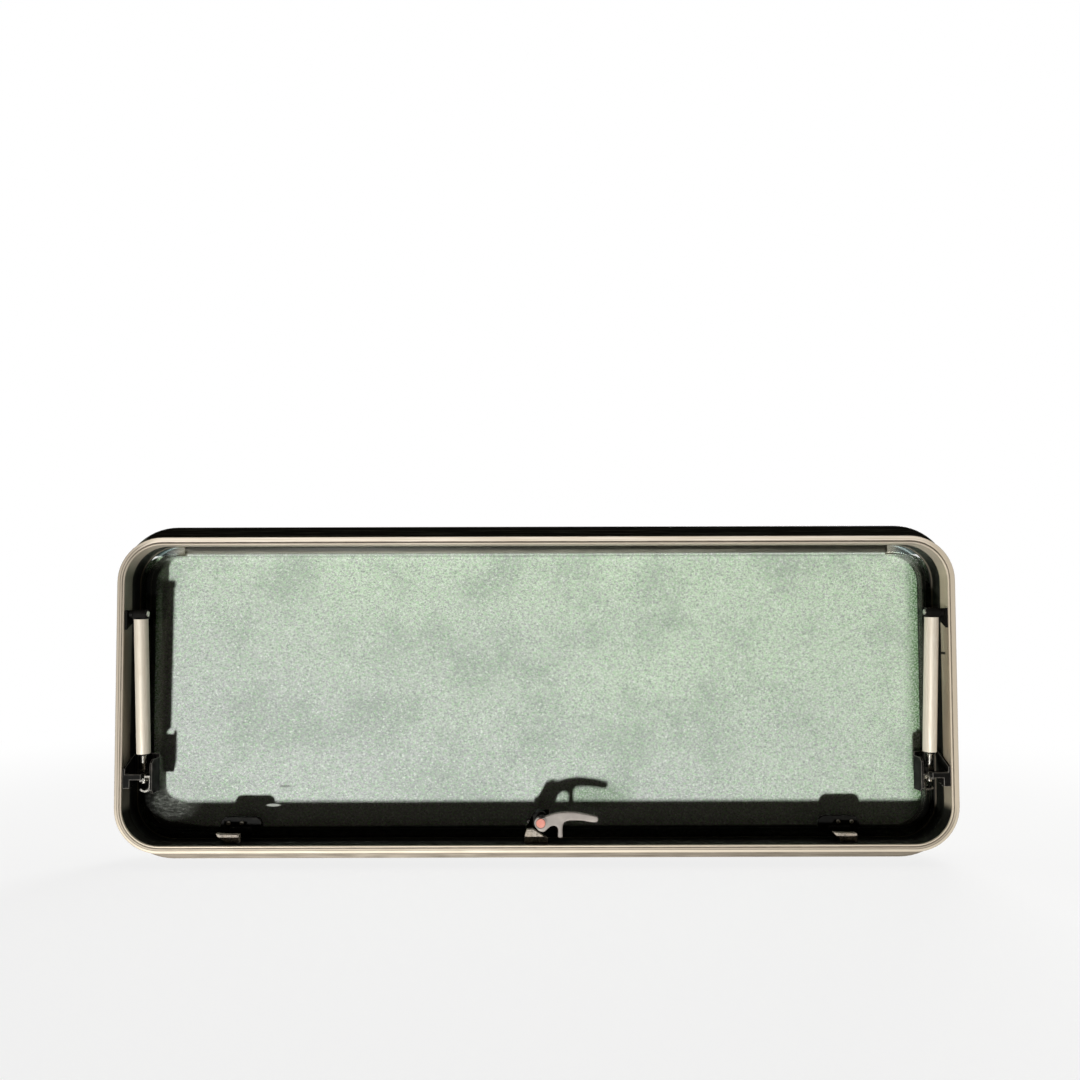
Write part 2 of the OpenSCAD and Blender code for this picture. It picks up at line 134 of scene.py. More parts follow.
def blended(tree: NodeTree, factor: Any, first: Any, second: Any) -> NodeSocket:
    """Mixes two colours.

    Args:
        tree: The tree that gets the node.
        factor: Share of the second colour, a number or a socket.
        first: A linear colour or a socket.
        second: A linear colour or a socket.

    Returns:
        The mixed colour's socket.
    """
    node = add(tree, "ShaderNodeMix",
               {"Factor_Float": factor, "A_Color": first, "B_Color": second}, data_type="RGBA")
    return next(s for s in node.outputs if s.identifier == "Result_Color")


def graded(tree: NodeTree, value: Any, start: float, end: float,
           low: float = 0.0, high: float = 1.0) -> NodeSocket:
    """Maps a value between two ends to another range, smoothly and clamped.

    Args:
        tree: The tree that gets the node.
        value: The socket to map.
        start: Where the result is low.
        end: Where the result is high.
        low: Result at the start.
        high: Result at the end.

    Returns:
        The mapped value's socket.
    """
    node = add(tree, "ShaderNodeMapRange",
               {"Value": value, "From Min": start, "From Max": end, "To Min": low, "To Max": high},
               interpolation_type="SMOOTHSTEP")
    return node.outputs["Result"]


def sums(tree: NodeTree, operation: str, first: Any, second: Any = 0.0) -> NodeSocket:
    """Does one sum on numbers.

    Args:
        tree: The tree that gets the node.
        operation: The sum's name, such as "MULTIPLY".
        first: A number or a socket.
        second: A number or a socket.

    Returns:
        The result's socket.
    """
    node = add(tree, "ShaderNodeMath", {"Value": first, "Value_001": second}, operation=operation)
    return node.outputs["Value"]


def places(tree: NodeTree) -> NodeSocket:
    """Returns the place on the object, in metres, as a socket."""
    return add(tree, "ShaderNodeTexCoord").outputs["Object"]


def coordinate(tree: NodeTree, axis: str) -> NodeSocket:
    """Returns the place along one axis, such as "X", in metres, as a socket."""
    return add(tree, "ShaderNodeSeparateXYZ", {"Vector": places(tree)}).outputs[axis]


def scaled(tree: NodeTree, x: float, y: float, z: float) -> NodeSocket:
    """Returns the place on the object times a factor for each axis.

    Args:
        tree: The tree that gets the nodes.
        x: Factor along X.
        y: Factor along Y.
        z: Factor along Z.

    Returns:
        The scaled place's socket.
    """
    node = add(tree, "ShaderNodeVectorMath", {"Vector": places(tree), "Vector_001": (x, y, z)},
               operation="MULTIPLY")
    return node.outputs["Vector"]


def away_from(tree: NodeTree, spot: tuple[float, float, float],
              factors: tuple[float, float, float]) -> NodeSocket:
    """Gives how far a place lies from a spot, with a factor for each axis.

    Args:
        tree: The tree that gets the nodes.
        spot: The spot, in metres.
        factors: Factors along X, Y and Z.

    Returns:
        The distance's socket.
    """
    middle = tuple(value * factor for value, factor in zip(spot, factors))
    node = add(tree, "ShaderNodeVectorMath",
               {"Vector": scaled(tree, *factors), "Vector_001": middle}, operation="DISTANCE")
    return node.outputs["Value"]


def noise(tree: NodeTree, vector: Any, size_mm: float, detail: float = 3.0,
          rough: float = 0.55, warp: float = 0.0) -> NodeSocket:
    """Adds a noise whose lumps have a real size.

    Args:
        tree: The tree that gets the node.
        vector: The socket of the place.
        size_mm: Width of a lump in millimetres.
        detail: Number of finer layers.
        rough: Share of the finer layers.
        warp: Distortion of the lumps.

    Returns:
        The noise's value socket.
    """
    node = add(tree, "ShaderNodeTexNoise",
               {"Vector": vector, "Scale": 1 / (size_mm * MM), "Detail": detail,
                "Roughness": rough, "Distortion": warp})
    return node.outputs["Fac"]


def embossed(tree: NodeTree, inputs: dict[str, Any], pattern: NodeSocket, strength: float,
             height_mm: float) -> NodeSocket:
    """Adds a shader whose surface rises and falls with a fine pattern.

    Args:
        tree: The tree that gets the nodes.
        inputs: The shader's other inputs, by name.
        pattern: The pattern's socket.
        strength: Share of the relief that shows.
        height_mm: Height of the relief in millimetres.

    Returns:
        The shader's socket.
    """
    bump = add(tree, "ShaderNodeBump",
               {"Strength": strength, "Distance": height_mm * MM, "Height": pattern})
    shader = add(tree, "ShaderNodeBsdfPrincipled", {**inputs, "Normal": bump.outputs["Normal"]})
    return shader.outputs["BSDF"]


@dataclass(frozen=True)
class Opening:
    """The clear opening of the clamp ring, in metres."""

    half_width: float = 442 * MM
    half_height: float = 160.5 * MM
    middle_z: float = 173.25 * MM
    corner: float = 40 * MM

    def beyond(self, tree: NodeTree) -> NodeSocket:
        """Gives how far a point lies beyond the opening's rounded edge.

        Args:
            tree: The tree that gets the nodes.

        Returns:
            The distance's socket, in metres, which is the same all along a bent profile.
        """
        core = (self.half_width - self.corner, 1.0, self.half_height - self.corner)
        vector = places(tree)
        for operation, second in (("SUBTRACT", (0, 0, self.middle_z)), ("ABSOLUTE", (0, 0, 0)),
                                  ("SUBTRACT", core), ("MAXIMUM", (0, 0, 0))):
            node = add(tree, "ShaderNodeVectorMath", {"Vector": vector, "Vector_001": second},
                       operation=operation)
            vector = node.outputs["Vector"]
        length = add(tree, "ShaderNodeVectorMath", {"Vector": vector}, operation="LENGTH")
        return sums(tree, "SUBTRACT", length.outputs["Value"], self.corner)


OPENING = Opening()


# Finishes


@dataclass(frozen=True)
class Finish:
    """A finish with a name, which makes its own material once."""

    name: str

    def surface(self, tree: NodeTree) -> NodeSocket:
        """Builds the finish's shader in a tree and returns its socket."""
        raise NotImplementedError

    def material(self) -> Material:
        """Returns the finish's material."""
        found = bpy.data.materials.get(self.name)
        if found is not None:
            return found
        made = bpy.data.materials.new(self.name)
        made.use_nodes = True
        made.node_tree.nodes.clear()
        surface = self.surface(made.node_tree)
        add(made.node_tree, "ShaderNodeOutputMaterial", {"Surface": surface})
        return made


class Grain(Enum):
    """The way along which a profile was drawn."""

    AROUND = "around the opening"
    LEVEL = "along X"
    UPRIGHT = "along Z"


@dataclass(frozen=True)
class DrawnAluminium(Finish):
    """Aluminium pressed through a die, then etched and anodised in champagne, or left bright.

    The oxide scatters much of the light, so the metal shows an even satin tone. The die leaves fine
    lines along the profile, and handling leaves slightly duller patches.
    """

    light: str = "#F3E9DC"
    dark: str = "#CFC2AF"
    roughness: float = 0.58
    metallic: float = 0.3
    line_mm: float = 0.9
    grain: Grain = Grain.AROUND
    depth: float = 0.25
    patch_mm: float = 45.0
    stretch: float = 0.01

    def banded(self, tree: NodeTree, colour: NodeSocket) -> NodeSocket:
        """Returns the colour with the profile's own lines, of which a plain one has none."""
        return colour

    def bareness(self, tree: NodeTree) -> Any:
        """Returns the share of bare metal, the same all over on a plain profile."""
        return self.metallic

    def surface(self, tree: NodeTree) -> NodeSocket:
        """Builds the metal with its die lines.

        Args:
            tree: The material's tree.

        Returns:
            The shader's socket.
        """
        if self.grain is Grain.AROUND:
            along = sums(tree, "ADD", coordinate(tree, "X"), coordinate(tree, "Z"))
            across = add(tree, "ShaderNodeCombineXYZ",
                         {"X": OPENING.beyond(tree), "Y": coordinate(tree, "Y"),
                          "Z": sums(tree, "MULTIPLY", along, self.stretch)}).outputs["Vector"]
        elif self.grain is Grain.LEVEL:
            across = scaled(tree, self.stretch, 1, 1)
        else:
            across = scaled(tree, 1, 1, self.stretch)
        lines = noise(tree, across, self.line_mm, detail=4, rough=0.7)
        patches = noise(tree, places(tree), self.patch_mm, detail=2)
        dark = linear(self.dark)
        colour = blended(tree, graded(tree, lines, 0.32, 0.68), dark, linear(self.light))
        colour = blended(tree, graded(tree, patches, 0.35, 0.75, 0.0, 0.16), colour, dark)
        rough = sums(tree, "ADD",
                     graded(tree, lines, 0.3, 0.7, self.roughness + 0.06, self.roughness - 0.06),
                     graded(tree, patches, 0.3, 0.7, -0.02, 0.05))
        inputs = {"Base Color": self.banded(tree, colour), "Metallic": self.bareness(tree),
                  "Roughness": rough}
        return embossed(tree, inputs, lines, self.depth, 0.1)


@dataclass(frozen=True)
class RingFinish(DrawnAluminium):
    """The clamp ring: champagne aluminium, with painted shade on its lip and behind it.

    On the left and bottom members the lip has a darker strip and a darker line, painted shade of a
    step in its face, and the top member's inner edge takes the strip's colour too. The uprights and
    the bottom member are painted darker than the top as shade, and so is the lip's outer edge.
    Behind the lip the metal is barer, its left and bottom faces are painted dark as shade, and its
    top face is painted darker. Each pair of lengths says where a member or a face begins and where
    it is reached.
    """

    # Painted shade: the lip's strip, line and edge, the darker members and the sleeve faces behind
    # the lip.
    strip: str = "#968B7D"
    line: str = "#4A443B"
    edge: str = "#857A6B"
    left_lip_shade: str = "#A2988A"
    right_lip_shade: str = "#C3B7A4"
    low_lip_shade: str = "#C9BEAC"
    left_sleeve_shade: str = "#87847A"
    top_sleeve: str = "#90877A"
    low_sleeve_shade: str = "#2A2A27"
    sleeve_bareness: float = 0.92
    uprights: tuple[float, float] = (405 * MM, 435 * MM)
    top: tuple[float, float] = (300 * MM, 325 * MM)
    bottom: tuple[float, float] = (60 * MM, 25 * MM)
    floor: tuple[float, float] = (56 * MM, 46 * MM)
    sleeve: tuple[float, float] = (-37.2 * MM, -36.8 * MM)
    fade_mm: float = 0.12

    def within(self, tree: NodeTree, start_mm: float, end_mm: float, most: float) -> NodeSocket:
        """Marks a band of the lip.

        Args:
            tree: The material's tree.
            start_mm: Where the band starts, beyond the ring's inner edge.
            end_mm: Where the band ends.
            most: The mark's value inside the band.

        Returns:
            The mark's socket, which is 0 outside the band.
        """
        beyond, fade = OPENING.beyond(tree), self.fade_mm
        rise = graded(tree, beyond, (start_mm - fade) * MM, (start_mm + fade) * MM, 0.0, most)
        fall = graded(tree, beyond, (end_mm - fade) * MM, (end_mm + fade) * MM, 1.0, 0.0)
        return sums(tree, "MULTIPLY", rise, fall)

    def banded(self, tree: NodeTree, colour: NodeSocket) -> NodeSocket:
        """Paints shade: darker member tones, the lip's strip, line and edge, and dark sleeve faces.

        Args:
            tree: The material's tree.
            colour: The metal's colour.

        Returns:
            The colour's socket.
        """
        across, depth, height = (coordinate(tree, axis) for axis in "XYZ")
        left = graded(tree, across, *(-length for length in self.uprights))
        right = graded(tree, across, *self.uprights)
        top, low, floor = (graded(tree, height, *pair)
                           for pair in (self.top, self.bottom, self.floor))
        behind = graded(tree, depth, *self.sleeve)
        # Each step paints shade: member tones, the lip's strip, line and edge, and the sleeve's
        # faces.
        for share, most, tone in (
            (left, 0.9, self.left_lip_shade),
            (right, 0.9, self.right_lip_shade),
            (low, 0.8, self.low_lip_shade),
            (low, self.within(tree, 1.8, 4.8, 0.7), self.strip),
            (top, self.within(tree, -0.6, 1.8, 0.7), self.strip),
            (sums(tree, "MAXIMUM", low, left), self.within(tree, 4.7, 5.3, 0.85), self.line),
            (sums(tree, "ADD", left, 1.0), self.within(tree, 7.5, 9.0, 0.45), self.edge),
            (left, behind, self.left_sleeve_shade),
            (top, behind, self.top_sleeve),
            (floor, behind, self.low_sleeve_shade),
        ):
            colour = blended(tree, sums(tree, "MULTIPLY", share, most), colour, linear(tone))
        return colour

    def bareness(self, tree: NodeTree) -> Any:
        """Makes the sleeve behind the lip barer, except on the top member.

        Args:
            tree: The material's tree.

        Returns:
            The share's socket.
        """
        bare = graded(tree, coordinate(tree, "Y"), *self.sleeve,
                      0.0, self.sleeve_bareness - self.metallic)
        lower = graded(tree, coordinate(tree, "Z"), *self.top, 1.0, 0.0)
        return sums(tree, "ADD", sums(tree, "MULTIPLY", bare, lower), self.metallic)


@dataclass(frozen=True)
class OuterFrameFinish(DrawnAluminium):
    """The outer frame: aluminium on the flange and satin black paint in the tunnel.

    The flange's aluminium is painted darker than the ring's, as shade. The black paint carries
    lighter streaks along the profile's die lines, painted reflections of raking light.
    """

    paint: str = "#10110E"
    # The streak colour is a painted reflection on the black paint.
    streak: str = "#3A3B36"
    edge: float = -0.4 * MM

    def surface(self, tree: NodeTree) -> NodeSocket:
        """Builds the metal and the paint and splits them where the flange begins.

        Args:
            tree: The material's tree.

        Returns:
            The shader's socket.
        """
        metal = super().surface(tree)
        streaks = noise(tree, scaled(tree, 1, 1, 0.02), 2.2, detail=4, rough=0.75)
        colour = blended(tree, graded(tree, streaks, 0.5, 0.72),
                         linear(self.paint), linear(self.streak))
        black = add(tree, "ShaderNodeBsdfPrincipled",
                    {"Base Color": colour, "Roughness": 0.38, "IOR": 1.5})
        share = graded(tree, coordinate(tree, "Y"), self.edge - 0.05 * MM, self.edge + 0.05 * MM)
        return add(tree, "ShaderNodeMixShader",
                   {"Fac": share, "Shader": black.outputs["BSDF"],
                    "Shader_001": metal}).outputs["Shader"]


@dataclass(frozen=True)
class Enamel(Finish):
    """Gloss black enamel on an aluminium profile, painted grey with long soft painted reflections.
    """

    # Painted reflections: the grey colour and the lighter streaks stand in for what the gloss
    # mirrors.
    colour: str = "#42433D"
    streak: str = "#777970"
    roughness: float = 0.16

    def surface(self, tree: NodeTree) -> NodeSocket:
        """Builds the enamel.

        Args:
            tree: The material's tree.

        Returns:
            The shader's socket.
        """
        streaks = noise(tree, scaled(tree, 0.02, 1, 1), 1.6, detail=3, rough=0.6)
        colour = blended(tree, graded(tree, streaks, 0.45, 0.7),
                         linear(self.colour), linear(self.streak))
        rough = graded(tree, streaks, 0.3, 0.7, self.roughness, self.roughness + 0.12)
        inputs = {"Base Color": colour, "Roughness": rough, "IOR": 1.5, "Coat Weight": 0.4,
                  "Coat Roughness": 0.08}
        return embossed(tree, inputs, streaks, 0.15, 0.1)


@dataclass(frozen=True)
class MouldedNylon(Finish):
    """Glass-filled nylon from a spark-eroded mould, with an even fine grain and worn patches."""

    colour: str = "#0A0A09"
    worn: str = "#131210"
    roughness: float = 0.58
    sheen: float = 0.07
    grain_mm: float = 0.35
    depth: float = 0.25

    def surface(self, tree: NodeTree) -> NodeSocket:
        """Builds the moulded plastic.

        Args:
            tree: The material's tree.

        Returns:
            The shader's socket.
        """
        grain = noise(tree, places(tree), self.grain_mm, detail=2, rough=0.6)
        patches = noise(tree, places(tree), 9, detail=3)
        colour = blended(tree, graded(tree, patches, 0.42, 0.7),
                         linear(self.colour), linear(self.worn))
        rough = graded(tree, patches, 0.3, 0.7, self.roughness + 0.05, self.roughness - 0.06)
        inputs = {"Base Color": colour, "Roughness": rough, "IOR": 1.53,
                  "Specular IOR Level": self.sheen}
        return embossed(tree, inputs, grain, self.depth, 0.08)


@dataclass(frozen=True)
class MottledPlastic(Finish):
    """Keepers of recycled plastic, grey with darker and warmer flecks like cast stone."""

    light: str = "#A59C90"
    dark: str = "#5A534B"
    warm: str = "#AC9C8A"
    fleck_mm: float = 1.8

    def surface(self, tree: NodeTree) -> NodeSocket:
        """Builds the flecked plastic.

        Args:
            tree: The material's tree.

        Returns:
            The shader's socket.
        """
        flecks = noise(tree, places(tree), self.fleck_mm, detail=4, rough=0.65, warp=0.6)
        tone = noise(tree, places(tree), 6, detail=2)
        colour = blended(tree, graded(tree, flecks, 0.36, 0.62),
                         linear(self.dark), linear(self.light))
        colour = blended(tree, graded(tree, tone, 0.45, 0.7, 0.0, 0.6), colour, linear(self.warm))
        inputs = {"Base Color": colour, "Roughness": 0.6, "IOR": 1.5}
        return embossed(tree, inputs, flecks, 0.3, 0.15)


@dataclass(frozen=True)
class ZincSteel(Finish):
    """Bright zinc plate on turned or stamped steel, with the faint clouding of the bath."""

    light: str = "#DAD8D2"
    dark: str = "#9C9A93"
    roughness: float = 0.24

    def surface(self, tree: NodeTree) -> NodeSocket:
        """Builds the plated steel.

        Args:
            tree: The material's tree.

        Returns:
            The shader's socket.
        """
        cloud = noise(tree, places(tree), 2.5, detail=3)
        colour = blended(tree, graded(tree, cloud, 0.35, 0.65),
                         linear(self.dark), linear(self.light))
        rough = graded(tree, cloud, 0.3, 0.7, self.roughness + 0.1, self.roughness - 0.05)
        return add(tree, "ShaderNodeBsdfPrincipled",
                   {"Base Color": colour, "Metallic": 1.0, "Roughness": rough}).outputs["BSDF"]


@dataclass(frozen=True)
class SealRubber(Finish):
    """Extruded EPDM rubber, matt black with a little bloom."""

    colour: str = "#141412"
    bloom: str = "#24231F"

    def surface(self, tree: NodeTree) -> NodeSocket:
        """Builds the rubber.

        Args:
            tree: The material's tree.

        Returns:
            The shader's socket.
        """
        bloom = noise(tree, places(tree), 14, detail=4)
        grain = noise(tree, places(tree), 0.5, detail=2)
        colour = blended(tree, graded(tree, bloom, 0.4, 0.7),
                         linear(self.colour), linear(self.bloom))
        inputs = {"Base Color": colour, "Roughness": 0.62, "IOR": 1.52}
        return embossed(tree, inputs, grain, 0.2, 0.1)


@dataclass(frozen=True)
class ClearAcrylic(Finish):
    """Acrylic sheet with a polished face.

    Each face passes most of the light and mirrors a little, more at a grazing look. Light crosses
    without bending, which is what a sheet of even thickness shows.
    """

    tint: str = "#FCFDFC"
    glint: float = 0.04
    haze: str = "#C9CEC6"
    haze_share: float = 0.002
    scuff_share: float = 0.008

    def colour(self, tree: NodeTree) -> Any:
        """Returns the colour of the light that one face passes."""
        return linear(self.tint)

    def cover(self, tree: NodeTree) -> NodeSocket:
        """Gives how much of the face dust and scuffs cover.

        Args:
            tree: The material's tree.

        Returns:
            The share's socket.
        """
        scuffs = noise(tree, places(tree), 5, detail=6, rough=0.8, warp=1.2)
        return graded(tree, scuffs, 0.6, 0.78, self.haze_share, self.haze_share + self.scuff_share)

    def surface(self, tree: NodeTree) -> NodeSocket:
        """Builds the clear sheet.

        Args:
            tree: The material's tree.

        Returns:
            The shader's socket.
        """
        through = add(tree, "ShaderNodeBsdfTransparent", {"Color": self.colour(tree)})
        dust = add(tree, "ShaderNodeBsdfDiffuse", {"Color": linear(self.haze)})
        clear = add(tree, "ShaderNodeMixShader",
                    {"Fac": self.cover(tree), "Shader": through.outputs["BSDF"],
                     "Shader_001": dust.outputs["BSDF"]})
        facing = add(tree, "ShaderNodeLayerWeight", {"Blend": 0.5}).outputs["Facing"]
        grazing = sums(tree, "POWER", facing, 5.0)
        share = sums(tree, "ADD", sums(tree, "MULTIPLY", grazing, 1 - self.glint), self.glint)
        mirror = add(tree, "ShaderNodeBsdfGlossy",
                     {"Color": (1, 1, 1, 1), "Roughness": 0.03})
        return add(tree, "ShaderNodeMixShader",
                   {"Fac": share, "Shader": clear.outputs["Shader"],
                    "Shader_001": mirror.outputs["BSDF"]}).outputs["Shader"]


@dataclass(frozen=True)
class TrayAcrylic(ClearAcrylic):
    """The inner sheet: its bent sides and bottom send light aside, painted as shade in a dark tint.

    Handling has scuffed the tray near its lower left corner, where dust has settled too.
    """

    # Painted shade: the dark tint of the bent sides and bottom.
    bend_shade: str = "#8A8B86"
    left_extra: float = 6 * MM
    scuffed_place: tuple[float, float, float] = (-0.401, -0.0075, 0.053)
    scuffed_share: float = 0.26
    chip_place: tuple[float, float, float] = (-0.290, -0.0075, 0.0492)
    bend: tuple[float, float] = (-12.8 * MM, -11.8 * MM)

    def colour(self, tree: NodeTree) -> Any:
        """Paints shade on the bent sides and bottom as a dark tint, further in on the left.

        Args:
            tree: The material's tree.

        Returns:
            The colour's socket.
        """
        widened = graded(tree, coordinate(tree, "X"), -350 * MM, -410 * MM, 0.0, self.left_extra)
        bent = graded(tree, sums(tree, "ADD", OPENING.beyond(tree), widened), *self.bend)
        below = graded(tree, coordinate(tree, "Z"), 304 * MM, 318 * MM, 1.0, 0.0)
        return blended(tree, sums(tree, "MULTIPLY", bent, below),
                       linear(self.tint), linear(self.bend_shade))

    def cover(self, tree: NodeTree) -> NodeSocket:
        """Adds the scuffed corner and one chip on the lower bend to the sheet's dust.

        Args:
            tree: The material's tree.

        Returns:
            The share's socket.
        """
        away = away_from(tree, self.scuffed_place, (0.7, 1, 1))
        near = graded(tree, away, 6 * MM, 25 * MM, self.scuffed_share, 0.0)
        marks = noise(tree, scaled(tree, 0.35, 1, 1), 2.4, detail=6, rough=0.8, warp=0.4)
        marks = sums(tree, "MULTIPLY", near, graded(tree, marks, 0.47, 0.7, 0.06, 1.0))
        beside = away_from(tree, self.chip_place, (0.2, 1, 1))
        chip = graded(tree, beside, 1.1 * MM, 1.9 * MM, 0.5, 0.0)
        return sums(tree, "ADD", super().cover(tree), sums(tree, "MAXIMUM", marks, chip))


@dataclass(frozen=True)
class OuterAcrylic(ClearAcrylic):
    """The outer sheet, whose bare upper corners get blue-tinged streaks of painted highlight and
    shade.
    """

    # Painted highlight and shade: pale and dull streaks, and the shaded tone next to the hinge.
    dull: str = "#4E5A57"
    pale: str = "#EDFAFA"
    shaded: str = "#B4B1A6"
    film_top: float = 326 * MM
    hinge_end: float = 399 * MM
    corner: tuple[float, float] = (403 * MM, 420 * MM)

    def colour(self, tree: NodeTree) -> Any:
        """Paints highlight and shade in streaks on the two corners that neither film nor hinge
        covers.

        Args:
            tree: The material's tree.

        Returns:
            The colour's socket.
        """
        above = graded(tree, coordinate(tree, "Z"), self.film_top, self.film_top + 1 * MM)
        sideways = sums(tree, "ABSOLUTE", coordinate(tree, "X"))
        side = graded(tree, sideways, self.hinge_end - 0.5 * MM, self.hinge_end + 0.5 * MM)
        around = add(tree, "ShaderNodeCombineXYZ", {"X": OPENING.beyond(tree)}).outputs["Vector"]
        streaks = graded(tree, noise(tree, around, 2.0, detail=2), 0.46, 0.62)
        streaked = blended(tree, streaks, linear(self.dull), linear(self.pale))
        turn = graded(tree, sideways, *self.corner)
        streaked = blended(tree, turn, linear(self.shaded), streaked)
        return blended(tree, sums(tree, "MULTIPLY", above, side), linear(self.tint), streaked)


@dataclass(frozen=True)
class FoamFilm(Finish):
    """Foamed polyethylene film that protects the pane: pale, between lilac grey and green.

    Its open cells show as fine light and dark grains, the white ones partly painted glints, and
    where the film lies closer to the sheet it looks darker in cloudy patches. Towards the upper
    right it is greener in its own tone and lighter as painted light. Dark green specks are painted
    as shade where shadow edges fall along its sides and by the catch lever.
    """

    # The green end is lighter than the grey as painted light, besides its own tone.
    green: str = "#EFFBE9"
    grey: str = "#DAD9DD"
    shade: str = "#9FAAA1"
    lilac: str = "#B9B2C0"
    leaf: str = "#BFE6BA"
    spark: str = "#FFFFFF"
    edge_shade_green: str = "#56804C"
    grain_mm: float = 1.7
    cloud_mm: float = 75.0
    specked_face: float = 17.7 * MM
    shadow_edge_sides: tuple[float, float] = (416 * MM, 434 * MM)
    shadow_spot: tuple[float, float, float] = (60 * MM, 0.0, 54 * MM)

    def ground(self, tree: NodeTree) -> NodeSocket:
        """Builds the slow changes: greener and, as painted light, lighter towards the upper right;
        clouded.

        Args:
            tree: The material's tree.

        Returns:
            The colour's socket.
        """
        drift = noise(tree, scaled(tree, 0.62, 1, 1), 160, detail=1)
        lean = 0.0
        for value, weight in ((coordinate(tree, "X"), 0.55), (coordinate(tree, "Z"), 1.9),
                              (drift, 0.5)):
            lean = sums(tree, "ADD", lean, sums(tree, "MULTIPLY", value, weight))
        tone = blended(tree, graded(tree, lean, 0.25, 0.95), linear(self.grey), linear(self.green))
        clouds = noise(tree, places(tree), self.cloud_mm, detail=3, rough=0.6)
        return blended(tree, graded(tree, clouds, 0.56, 0.3, 0.0, 0.5), tone, linear(self.shade))

    def shadow_edged(self, tree: NodeTree) -> NodeSocket:
        """Marks the painted green shade at shadow edges: along both sides and by the lever, fainter
        outside.

        Args:
            tree: The material's tree.

        Returns:
            The mark's socket.
        """
        sides = graded(tree, sums(tree, "ABSOLUTE", coordinate(tree, "X")), *self.shadow_edge_sides)
        away = away_from(tree, self.shadow_spot, (0.35, 0, 1))
        spot = graded(tree, away, 20 * MM, 8 * MM, 0.0, 0.55)
        inner = graded(tree, coordinate(tree, "Y"), self.specked_face, self.specked_face + 0.3 * MM,
                       1.0, 0.25)
        return sums(tree, "MULTIPLY", inner, sums(tree, "MAXIMUM", sides, spot))

    def surface(self, tree: NodeTree) -> NodeSocket:
        """Builds the film.

        Args:
            tree: The material's tree.

        Returns:
            The shader's socket.
        """
        wide = scaled(tree, 0.8, 1, 1)
        grain = noise(tree, wide, self.grain_mm, detail=3, rough=0.65, warp=0.7)
        hue = noise(tree, scaled(tree, 0.8, 3, 1.1), 2.2, detail=2, rough=0.6, warp=0.5)
        colour = self.ground(tree)
        # The white grains are partly painted glints; the lilac, green and dark grains are the
        # film's own.
        for pattern, start, end, most, tone in (
            (hue, 0.5, 0.36, 0.7, self.lilac),
            (hue, 0.5, 0.66, 0.7, self.leaf),
            (grain, 0.52, 0.34, 0.8, self.shade),
            (grain, 0.54, 0.7, 1.0, self.spark),
        ):
            share = graded(tree, pattern, start, end, 0.0, most)
            colour = blended(tree, share, colour, linear(tone))
        # Painted shade: dark green specks where shadow edges fall, at the sides and by the lever.
        specks = graded(tree, noise(tree, wide, 1.6, detail=2), 0.4, 0.58, 0.3, 1.0)
        share = sums(tree, "MULTIPLY", self.shadow_edged(tree), specks)
        colour = blended(tree, share, colour, linear(self.edge_shade_green))
        inputs = {"Base Color": colour, "Roughness": 0.65, "IOR": 1.5}
        return embossed(tree, inputs, grain, 0.4, 0.3)


@dataclass(frozen=True)
class StudioFloor(Finish):
    """A pale paper sweep, which takes the object's shadow and runs out to a white backdrop."""

    colour: str = "#F2F1EE"
    near: float = 0.55
    far: float = 1.5
    least: float = 0.84

    def surface(self, tree: NodeTree) -> NodeSocket:
        """Builds the paper.

        Args:
            tree: The material's tree.

        Returns:
            The shader's socket.
        """
        paper = add(tree, "ShaderNodeBsdfDiffuse", {"Color": linear(self.colour)})
        glow = add(tree, "ShaderNodeEmission", {"Color": (1, 1, 1, 1), "Strength": 1.0})
        reach = add(tree, "ShaderNodeVectorMath", {"Vector": places(tree)}, operation="LENGTH")
        share = graded(tree, reach.outputs["Value"], self.near, self.far, self.least, 1.0)
        seen = add(tree, "ShaderNodeLightPath")
        share = sums(tree, "MULTIPLY", share, seen.outputs["Is Camera Ray"])
        return add(tree, "ShaderNodeMixShader",
                   {"Fac": share, "Shader": paper.outputs["BSDF"],
                    "Shader_001": glow.outputs["Emission"]}).outputs["Shader"]


RING_METAL = RingFinish("champagne_anodised_aluminium")
# The flange's colours are painted darker than the ring's, as shade.
FRAME_METAL = OuterFrameFinish("outer_frame_aluminium_and_paint", light="#938A7C", dark="#61594D",
                               line_mm=0.7)
HINGE_METAL = DrawnAluminium("mill_aluminium", light="#F1ECE2", dark="#CBC3B5", grain=Grain.LEVEL)
TUBE_METAL = DrawnAluminium("bright_anodised_tube", light="#D6CFC1", dark="#C4BAAA", roughness=0.45,
                            metallic=0.2, grain=Grain.UPRIGHT, line_mm=1.2, depth=0.1)
RAIL_ENAMEL = Enamel("black_enamelled_rail")
BLACK_NYLON = MouldedNylon("black_moulded_nylon")
# A painted highlight: a lighter nylon for the rounded edges of the brackets and rests.
EDGE_HIGHLIGHT_NYLON = MouldedNylon("nylon_edge_painted_highlight", colour="#45423E", worn="#6A665F", roughness=0.4,
                            sheen=0.5)
LEVER_NYLON = MouldedNylon("grey_moulded_nylon", colour="#8F8984", worn="#9A948E", roughness=0.45,
                           sheen=0.2)
BUTTON_NYLON = MouldedNylon("salmon_moulded_nylon", colour="#C98476", worn="#CF9083",
                            roughness=0.55, sheen=0.2)
KEEPER_PLASTIC = MottledPlastic("mottled_keeper_plastic")
PLATED_STEEL = ZincSteel("zinc_plated_steel")
